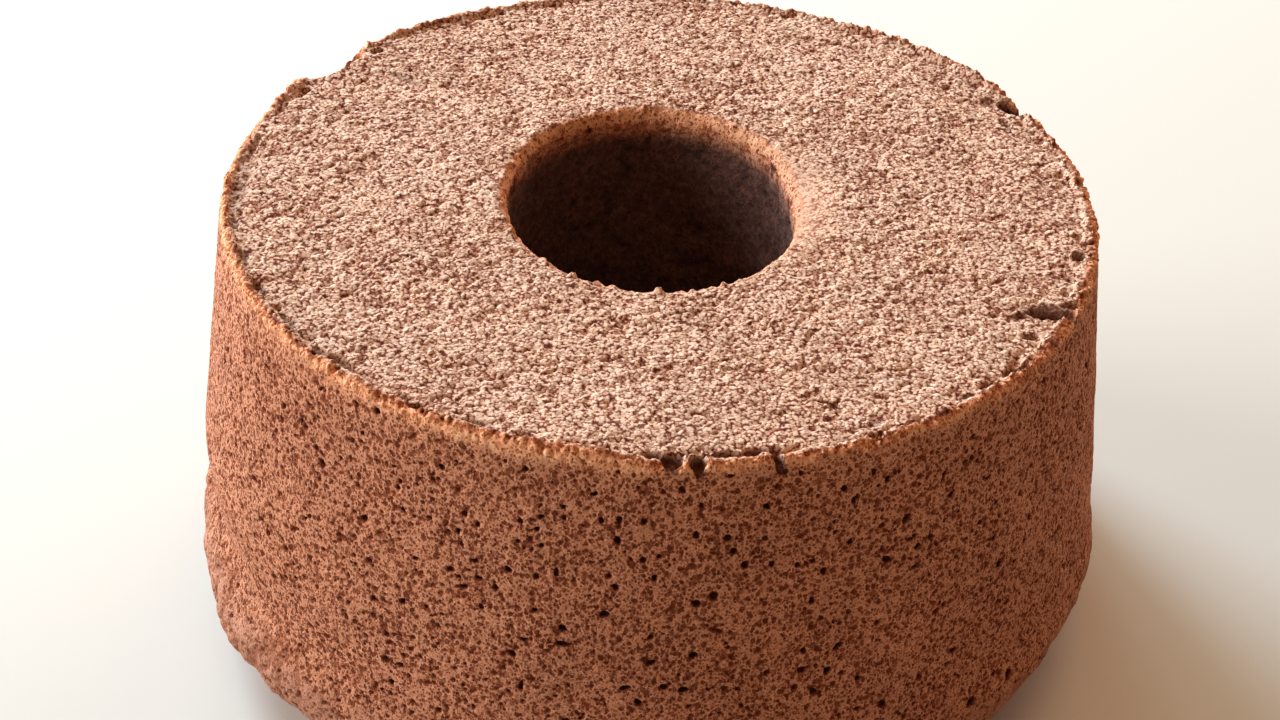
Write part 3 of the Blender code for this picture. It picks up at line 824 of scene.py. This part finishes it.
class Graph:
    """Short names for the few node kinds the crumb is made of."""

    def __init__(self, tree):
        self.t = tree

    def link(self, a, b):
        self.t.links.new(a, b)

    def attr(self, name):
        n = node(self.t, "ShaderNodeAttribute", attribute_name=name, attribute_type="GEOMETRY")
        return n.outputs["Fac"]

    def math(self, op, a, b=None, clamp=False):
        n = node(self.t, "ShaderNodeMath", operation=op, use_clamp=clamp)
        for i, v in enumerate((a, b)):
            if v is None:
                continue
            if isinstance(v, (int, float)):
                n.inputs[i].default_value = v
            else:
                self.link(v, n.inputs[i])
        return n.outputs[0]

    def span(self, value, low, high, to_low=0.0, to_high=1.0):
        n = node(self.t, "ShaderNodeMapRange", interpolation_type="SMOOTHSTEP", clamp=True)
        self.link(value, n.inputs["Value"])
        n.inputs["From Min"].default_value = low
        n.inputs["From Max"].default_value = high
        n.inputs["To Min"].default_value = to_low
        n.inputs["To Max"].default_value = to_high
        return n.outputs["Result"]

    def mix(self, fac, a, b):
        n = node(self.t, "ShaderNodeMix", data_type="RGBA", blend_type="MIX", clamp_factor=True)
        sockets = [s for s in n.inputs if s.enabled or True]
        for sock, v in ((n.inputs[0], fac), (n.inputs[6], a), (n.inputs[7], b)):
            if isinstance(v, tuple):
                sock.default_value = (*v, 1.0)
            elif isinstance(v, (int, float)):
                sock.default_value = v
            else:
                self.link(v, sock)
        return n.outputs[2]

    def mixf(self, fac, a, b):
        n = node(self.t, "ShaderNodeMix", data_type="FLOAT", clamp_factor=True)
        for sock, v in ((n.inputs[0], fac), (n.inputs[2], a), (n.inputs[3], b)):
            if isinstance(v, (int, float)):
                sock.default_value = v
            else:
                self.link(v, sock)
        return n.outputs[0]

    def noise(self, vec, size_mm, detail=2.0, rough=0.55):
        n = node(self.t, "ShaderNodeTexNoise", noise_dimensions="3D")
        self.link(vec, n.inputs["Vector"])
        n.inputs["Scale"].default_value = 1.0 / size_mm
        n.inputs["Detail"].default_value = detail
        n.inputs["Roughness"].default_value = rough
        return n.outputs["Fac"], n.outputs["Color"]

    def voronoi(self, vec, size_mm, feature="F1", random=1.0):
        n = node(self.t, "ShaderNodeTexVoronoi", voronoi_dimensions="3D", feature=feature)
        self.link(vec, n.inputs["Vector"])
        n.inputs["Scale"].default_value = 1.0 / size_mm
        n.inputs["Randomness"].default_value = random
        return n.outputs["Distance"], (n.outputs["Color"] if feature == "F1" else None)

    def warp(self, vec, size_mm, amount_mm):
        _, colour = self.noise(vec, size_mm, detail=1.0)
        sub = node(self.t, "ShaderNodeVectorMath", operation="SUBTRACT")
        self.link(colour, sub.inputs[0])
        sub.inputs[1].default_value = (0.5, 0.5, 0.5)
        scale = node(self.t, "ShaderNodeVectorMath", operation="SCALE")
        self.link(sub.outputs[0], scale.inputs[0])
        scale.inputs["Scale"].default_value = amount_mm * 2
        add = node(self.t, "ShaderNodeVectorMath", operation="ADD")
        self.link(vec, add.inputs[0])
        self.link(scale.outputs[0], add.inputs[1])
        return add.outputs[0]


def crumb_material(name):
    m = bpy.data.materials.new(name)
    m.use_nodes = True
    t = m.node_tree
    g = Graph(t)
    shader = t.nodes["Principled BSDF"]
    coord = node(t, "ShaderNodeTexCoord")
    mm = node(t, "ShaderNodeVectorMath", operation="SCALE")
    g.link(coord.outputs["Object"], mm.inputs[0])
    mm.inputs["Scale"].default_value = 1000.0
    P = mm.outputs[0]

    a_recess_shade, a_top, a_lip_glow = g.attr("recess_shade"), g.attr("top"), g.attr("lip")
    a_crust, a_hole_shade, a_torn_shade = g.attr("crust"), g.attr("tube"), g.attr("torn_shade")
    a_calm, a_edge_glow = g.attr("calm"), g.attr("edge_glow")
    a_ring, a_pore_shade = g.attr("ring"), g.attr("pore_shade")
    rough_part = g.math("SUBTRACT", 1.0, g.math("MULTIPLY", a_calm, 0.8))

    tall = node(t, "ShaderNodeVectorMath", operation="MULTIPLY")
    g.link(P, tall.inputs[0])
    tall.inputs[1].default_value = (1.0, 1.0, 0.84)
    bent = g.warp(tall.outputs[0], 0.9, 0.12)
    bent_fine = g.warp(tall.outputs[0], 0.35, 0.06)
    slow, _ = g.noise(P, 9.0, detail=2.0)
    grain, _ = g.noise(P, 0.31, detail=2.0, rough=0.6)
    mottle, _ = g.noise(P, 0.80, detail=1.0)
    blot, _ = g.noise(P, 2.2, detail=2.0)

    # --- wall: painted shade of round pores between the modelled ones, each with its own size and darkness
    def pores(vec, size_mm, r_low, r_high, shade_low, shade_high, soft, fewer):
        d, tag = g.voronoi(vec, size_mm)
        split = node(t, "ShaderNodeSeparateColor")
        g.link(tag, split.inputs[0])
        r = g.math("ADD", g.math("MULTIPLY", split.outputs[0], r_high - r_low), r_low)
        r = g.math("SUBTRACT", r, fewer)
        edge = g.math("SUBTRACT", r, d)
        mask = g.span(edge, -soft, soft)
        # how dark the painted shade of this pore is
        tone = g.math("ADD", g.math("MULTIPLY", split.outputs[1], shade_high - shade_low), shade_low)
        return mask, g.math("MULTIPLY", mask, tone)

    fewer = g.math("ADD", g.math("MULTIPLY", a_crust, 0.12), g.math("MULTIPLY", a_calm, 0.10))
    small_m, small_shade = pores(bent, 1.00, 0.08, 0.45, 0.24, 0.52, 0.045, fewer)
    tiny_m, tiny_shade = pores(bent_fine, 0.47, 0.22, 0.55, 0.20, 0.54, 0.065, fewer)
    strand, _ = g.voronoi(bent_fine, 0.48, feature="DISTANCE_TO_EDGE")
    strand = g.span(strand, 0.13, 0.03)
    # painted shade inside the modelled pores
    open_m = g.span(a_ring, 1.14, 0.66)
    open_shade = g.math("MULTIPLY", open_m, a_pore_shade)
    # painted pore shade and recess shade, varied by the crumb's own grain and mottle
    wall_shade_and_grain = g.math("MAXIMUM", g.math("MAXIMUM", small_shade, tiny_shade), open_shade)
    wall_shade_and_grain = g.math("MULTIPLY", wall_shade_and_grain, g.math("SUBTRACT", 1.0, g.math("MULTIPLY", a_crust, 0.35)))
    wall_shade_and_grain = g.math("MAXIMUM", wall_shade_and_grain, a_recess_shade)
    vary = g.math("ADD", g.math("MULTIPLY", g.math("SUBTRACT", grain, 0.5), 0.74),
                  g.math("MULTIPLY", g.math("SUBTRACT", mottle, 0.5), 0.12))
    wall_shade_and_grain = g.math("SUBTRACT", wall_shade_and_grain, g.math("MULTIPLY", strand, 0.10))
    wall_shade_and_grain = g.math("ADD", g.math("ADD", wall_shade_and_grain, 0.17), vary, clamp=True)

    # --- top: crumbs, with painted shade in the crevices between them
    c1, _ = g.voronoi(P, 0.56)
    c2, _ = g.voronoi(bent, 1.25)
    crack1 = g.span(c1, 0.47, 0.76)
    crack2 = g.span(c2, 0.54, 0.86)
    top_shade_and_tone = g.math("ADD", g.math("MULTIPLY", crack1, 0.78), g.math("MULTIPLY", crack2, 0.40))
    top_shade_and_tone = g.math("ADD", top_shade_and_tone, g.math("MULTIPLY", g.math("SUBTRACT", mottle, 0.5), 0.22))
    top_shade_and_tone = g.math("MULTIPLY", top_shade_and_tone, rough_part)
    top_shade_and_tone = g.math("ADD", top_shade_and_tone, g.math("MULTIPLY", a_calm, 0.34))
    top_shade_and_tone = g.math("ADD", top_shade_and_tone, g.math("MULTIPLY", a_recess_shade, 0.50), clamp=True)

    # --- colours (linear)
    def ramp(fac, stops):
        n = node(t, "ShaderNodeValToRGB")
        n.color_ramp.interpolation = "LINEAR"
        while len(n.color_ramp.elements) < len(stops):
            n.color_ramp.elements.new(0.5)
        for el, (pos, c) in zip(n.color_ramp.elements, stops):
            el.position = pos
            el.color = (*c, 1.0)
        g.link(fac, n.inputs["Fac"])
        return n.outputs["Color"]

    # wall colour: the crumb's own tone at 0, painted pore shade towards 1
    wall_c = ramp(wall_shade_and_grain, (
        (0.00, (0.720, 0.350, 0.210)),
        (0.14, (0.580, 0.230, 0.121)),
        (0.36, (0.380, 0.117, 0.054)),
        (0.62, (0.200, 0.045, 0.0200)),
        (0.84, (0.068, 0.018, 0.0110)),
        (1.00, (0.022, 0.011, 0.0090)),
    ))
    # top colour: pale crumb at 0, painted crevice shade towards 1
    top_c = ramp(top_shade_and_tone, (
        (0.00, (0.775, 0.527, 0.374)),
        (0.25, (0.665, 0.391, 0.247)),
        (0.55, (0.435, 0.180, 0.101)),
        (1.00, (0.145, 0.038, 0.021)),
    ))
    # painted glow and crest highlight of the lip
    lip_glow_c = ramp(g.math("SUBTRACT", wall_shade_and_grain, 0.08, clamp=True), (
        (0.00, (1.000, 0.540, 0.300)),
        (0.22, (0.950, 0.395, 0.180)),
        (0.48, (0.520, 0.145, 0.058)),
        (0.72, (0.180, 0.046, 0.023)),
        (1.00, (0.040, 0.015, 0.011)),
    ))
    crust_c = ramp(wall_shade_and_grain, (
        (0.00, (0.580, 0.275, 0.170)),
        (0.30, (0.360, 0.132, 0.070)),
        (0.60, (0.190, 0.054, 0.026)),
        (1.00, (0.030, 0.012, 0.010)),
    ))
    # painted shade of the hole: the same crumb, darkened
    hole_shade_c = ramp(wall_shade_and_grain, (
        (0.00, (0.180, 0.088, 0.063)),
        (0.40, (0.120, 0.055, 0.041)),
        (1.00, (0.045, 0.024, 0.020)),
    ))
    # painted shade of the torn hollows
    torn_shade_c = ramp(wall_shade_and_grain, (
        (0.00, (0.170, 0.050, 0.028)),
        (0.40, (0.090, 0.025, 0.015)),
        (1.00, (0.025, 0.009, 0.008)),
    ))
    colour = g.mix(a_crust, wall_c, crust_c)
    # painted glow down the top of the wall
    colour = g.mix(g.math("MULTIPLY", a_edge_glow, 0.18), colour, lip_glow_c)
    colour = g.mix(a_top, colour, top_c)
    # painted glow of the lip, and the same painted lighter colour on the hole's upper edge
    colour = g.mix(g.math("MULTIPLY", a_lip_glow, 0.94), colour, lip_glow_c)
    # painted shade down the hole
    colour = g.mix(a_hole_shade, colour, hole_shade_c)
    # painted shade of the torn hollows
    colour = g.mix(a_torn_shade, colour, torn_shade_c)
    # slow drift of tone
    drift = g.span(slow, 0.3, 0.7, 0.94, 1.06)
    drift2 = g.span(blot, 0.3, 0.7, 0.95, 1.05)
    tone = g.math("MULTIPLY", drift, drift2)
    tint = node(t, "ShaderNodeVectorMath", operation="SCALE")
    g.link(colour, tint.inputs[0])
    g.link(tone, tint.inputs["Scale"])
    g.link(tint.outputs[0], shader.inputs["Base Color"])

    rough, _ = g.noise(P, 0.6, detail=1.0)
    g.link(g.span(rough, 0.2, 0.8, 0.86, 0.97), shader.inputs["Roughness"])
    shader.inputs["Metallic"].default_value = 0.0
    shader.inputs["Specular IOR Level"].default_value = 0.06

    # --- relief finer than the net
    wall_h = g.math("ADD", g.math("MULTIPLY", small_m, -0.22), g.math("MULTIPLY", tiny_m, -0.10))
    wall_h = g.math("ADD", wall_h, g.math("MULTIPLY", open_m, -0.06))
    wall_h = g.math("ADD", wall_h, g.math("MULTIPLY", mottle, 0.10))
    wall_h = g.math("ADD", wall_h, g.math("MULTIPLY", strand, 0.025))
    dome1 = g.math("MULTIPLY", g.math("MULTIPLY", c1, c1), -0.14)
    dome2 = g.math("MULTIPLY", g.math("MULTIPLY", c2, c2), -0.10)
    top_h = g.math("MULTIPLY", g.math("ADD", dome1, dome2), rough_part)
    height = g.mixf(g.math("MAXIMUM", a_top, g.math("MULTIPLY", a_lip_glow, 0.4)), wall_h, top_h)
    height = g.math("ADD", height, g.math("MULTIPLY", grain, 0.02))
    bump = node(t, "ShaderNodeBump")
    bump.inputs["Strength"].default_value = 1.0
    bump.inputs["Distance"].default_value = 0.001
    g.link(height, bump.inputs["Height"])
    g.link(bump.outputs["Normal"], shader.inputs["Normal"])
    return m


crumb = crumb_material("cocoa_crumb")

# ------------------------------------------------------------------------- the pieces
tri_zone = point_ring[triangles].max(axis=1)
wrap = (point_ring[triangles].min(axis=1) == 0) & (tri_zone == len(ring_n) - 1)
angle = np.angle(np.exp(1j * theta[triangles]).sum(axis=1))


def rings_of(*names):
    idx = np.flatnonzero(np.isin(ring_zone, names))
    return idx.min(), idx.max()


tube_hi = rings_of("tube")[1]
top_lo, top_hi = rings_of("hole_edge")[0], rings_of("lip")[1]
side_lo, side_hi = rings_of("edge")[0], rings_of("roll")[1]
part_of = np.full(len(triangles), "foot", dtype="<U12")
part_of[(tri_zone <= tube_hi) & ~wrap] = "tube_wall"
is_t = (tri_zone > tube_hi) & (tri_zone <= top_hi)
part_of[is_t & (angle < 0)] = "top_front"
part_of[is_t & (angle >= 0)] = "top_back"
is_s = (tri_zone > top_hi) & (tri_zone <= side_hi)
deg = np.degrees(angle)
part_of[is_s & (deg >= -135) & (deg < -45)] = "side_front"
part_of[is_s & (deg >= -45) & (deg < 45)] = "side_right"
part_of[is_s & (deg >= 45) & (deg < 135)] = "side_back"
part_of[is_s & ((deg >= 135) | (deg < -135))] = "side_left"

# lip carries the painted glow of the lip and the same painted lighter colour on the hole's upper edge
attributes = {
    "recess_shade": recess_shade, "top": top_mask * (1 - lip_glow), "crust": crust_mask,
    "lip": np.maximum(lip_glow * (1 - 0.5 * recess_shade),
                      (r_now < 0.034) * smooth((z_now - (HEIGHT - 9 * MM)) / (4 * MM)) * (1 - top_mask)
                      * (0.8 - 0.65 * worn)),
    # tube carries the painted shade down the hole, less on the worn side
    "tube": np.where(is_tube | (zone == "hole_edge"), smooth((down - 1.6 * MM) / (5.5 * MM)), 0.0)
    * (1 - 0.12 * worn),
    "torn_shade": torn_shade, "calm": calm, "edge_glow": edge_glow_tone, "ring": ring, "pore_shade": pore_shade,
}
SECTOR = {"side_front": -90.0, "side_right": 0.0, "side_back": 90.0, "side_left": 180.0}
total = 0
for name in ("side_front", "side_right", "side_back", "side_left", "top_front", "top_back",
             "tube_wall", "foot"):
    tri = triangles[part_of == name]
    used, local = np.unique(tri, return_inverse=True)
    local = local.reshape(-1, 3)
    mesh = bpy.data.meshes.new(name)
    mesh.vertices.add(len(used))
    mesh.vertices.foreach_set("co", xyz[used].astype(np.float32).ravel())
    mesh.loops.add(local.size)
    mesh.loops.foreach_set("vertex_index", local.astype(np.int32).ravel())
    mesh.polygons.add(len(local))
    mesh.polygons.foreach_set("loop_start", np.arange(0, local.size, 3, dtype=np.int32))
    mesh.update(calc_edges=True)
    mesh.shade_smooth()
    for key, values in attributes.items():
        layer = mesh.attributes.new(key, "FLOAT", "POINT")
        layer.data.foreach_set("value", values[used].astype(np.float32))
    # unwrapped flat, so that the fine surface can be carried over to a picture
    uv = mesh.uv_layers.new(name="OFBake")
    corner = tri.ravel()
    if name in SECTOR:
        mid_angle = SECTOR[name]
        d = (np.degrees(theta[corner]) - mid_angle + 180) % 360 - 180
        u = (d + 46.5) / 93.0
        lo, hi = run[used].min(), run[used].max()
        v = 1 - (run[corner] - lo) / (hi - lo)
        u, v = 0.004 + 0.992 * u, 0.004 + 0.992 * v
    elif name.startswith("top"):
        u = 0.5 + xyz[corner, 0] / 0.1565
        lo, hi = xyz[used, 1].min(), xyz[used, 1].max()
        v = 0.004 + 0.992 * (xyz[corner, 1] - lo) / (hi - lo)
    elif name == "tube_wall":
        centre = np.repeat(np.degrees(angle[part_of == name]), 3)
        d = (np.degrees(theta[corner]) - centre + 180) % 360 - 180 + centre
        u = 0.5 + d / 366.0
        lo, hi = run[used].min(), run[used].max()
        v = 0.004 + 0.992 * (run[corner] - lo) / (hi - lo)
    else:
        u = 0.5 + xyz[corner, 0] / 0.142
        v = 0.5 + xyz[corner, 1] / 0.142
    uv.data.foreach_set("uv", np.stack([u, v], -1).astype(np.float32).ravel())
    mesh.normals_split_custom_set_from_vertices([tuple(n) for n in normal[used]])
    mesh.validate()
    mesh.materials.append(crumb)
    piece = bpy.data.objects.new(name, mesh)
    bpy.context.scene.collection.objects.link(piece)
    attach(piece, "root")
    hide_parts("cake")
    total += len(tri)
    print(f"{name}: {len(tri)} triangles, {len(used)} points")
print("all pieces:", total, "triangles")

# -------------------------------------------------------------------- floor and light
floor_mesh = bpy.data.meshes.new("floor")
half = 3.0
floor_mesh.from_pydata([(-half, -half, -0.0002), (half, -half, -0.0002), (half, half, -0.0002),
                        (-half, half, -0.0002)], [], [(0, 1, 2, 3)])
floor = bpy.data.objects.new("floor", floor_mesh)
bpy.context.scene.collection.objects.link(floor)
paint = bpy.data.materials.new("pale_floor")
paint.use_nodes = True
ps = paint.node_tree.nodes["Principled BSDF"]
ps.inputs["Base Color"].default_value = (0.66, 0.585, 0.485, 1.0)
ps.inputs["Roughness"].default_value = 0.75
ps.inputs["Specular IOR Level"].default_value = 0.15
floor_mesh.materials.append(paint)

world = bpy.data.worlds.new("studio")
bpy.context.scene.world = world
world.use_nodes = True
back = world.node_tree.nodes["Background"]
back.inputs["Color"].default_value = (1.0, 0.66, 0.49, 1.0)
back.inputs["Strength"].default_value = 0.217


def area_light(name, azimuth, elevation, distance, size, watts, colour):
    data = bpy.data.lights.new(name, "AREA")
    data.shape = "DISK"
    data.size = size
    data.energy = watts
    data.color = colour
    lamp = bpy.data.objects.new(name, data)
    a, e = math.radians(azimuth), math.radians(elevation)
    at_ = Vector((math.cos(a) * math.cos(e), math.sin(a) * math.cos(e), math.sin(e))) * distance
    lamp.location = at_ + Vector((0, 0, 0.04))
    lamp.rotation_euler = at_.to_track_quat("Z", "Y").to_euler()
    bpy.context.scene.collection.objects.link(lamp)
    return lamp


area_light("window", 129.0, 28.0, 1.6, 0.70, 43.6, (0.53, 0.75, 1.0))
area_light("window_side", 110.0, 28.0, 1.6, 0.90, 10.7, (0.54, 0.91, 1.0))
area_light("left_bay", 178.0, 20.0, 1.6, 1.10, 33.0, (0.83, 0.91, 1.0))
area_light("back_wall", 62.0, 24.0, 1.6, 1.20, 13.8, (1.0, 0.76, 0.62))
area_light("ceiling", 129.0, 85.0, 1.6, 1.20, 4.0, (1.0, 0.60, 0.20))

# ------------------------------------------------------------------------------ camera
camera = bpy.data.objects.new("camera", bpy.data.cameras.new("camera"))
bpy.context.scene.collection.objects.link(camera)
camera.data.sensor_width = 36.0
camera.data.lens = 73.125
camera.data.clip_start = 0.01
camera.data.clip_end = 20.0
right = Vector((0.99846689, 0.03614063, 0.04192521))
up = Vector((-0.05513763, 0.58276223, 0.81077002))
behind = Vector((0.00486931, -0.81183868, 0.5838615))
turn = Matrix((right, up, behind)).transposed().to_4x4()
turn.translation = Vector((0.0 + CENTRING[0], -0.38782353 + CENTRING[1], 0.32346643))
camera.matrix_world = turn
bpy.context.scene.camera = camera

bpy.context.scene.view_settings.view_transform = "Standard"
bpy.context.scene.view_settings.look = "None"
bpy.context.scene.view_settings.exposure = 0.0
bpy.context.scene.view_settings.gamma = 1.0
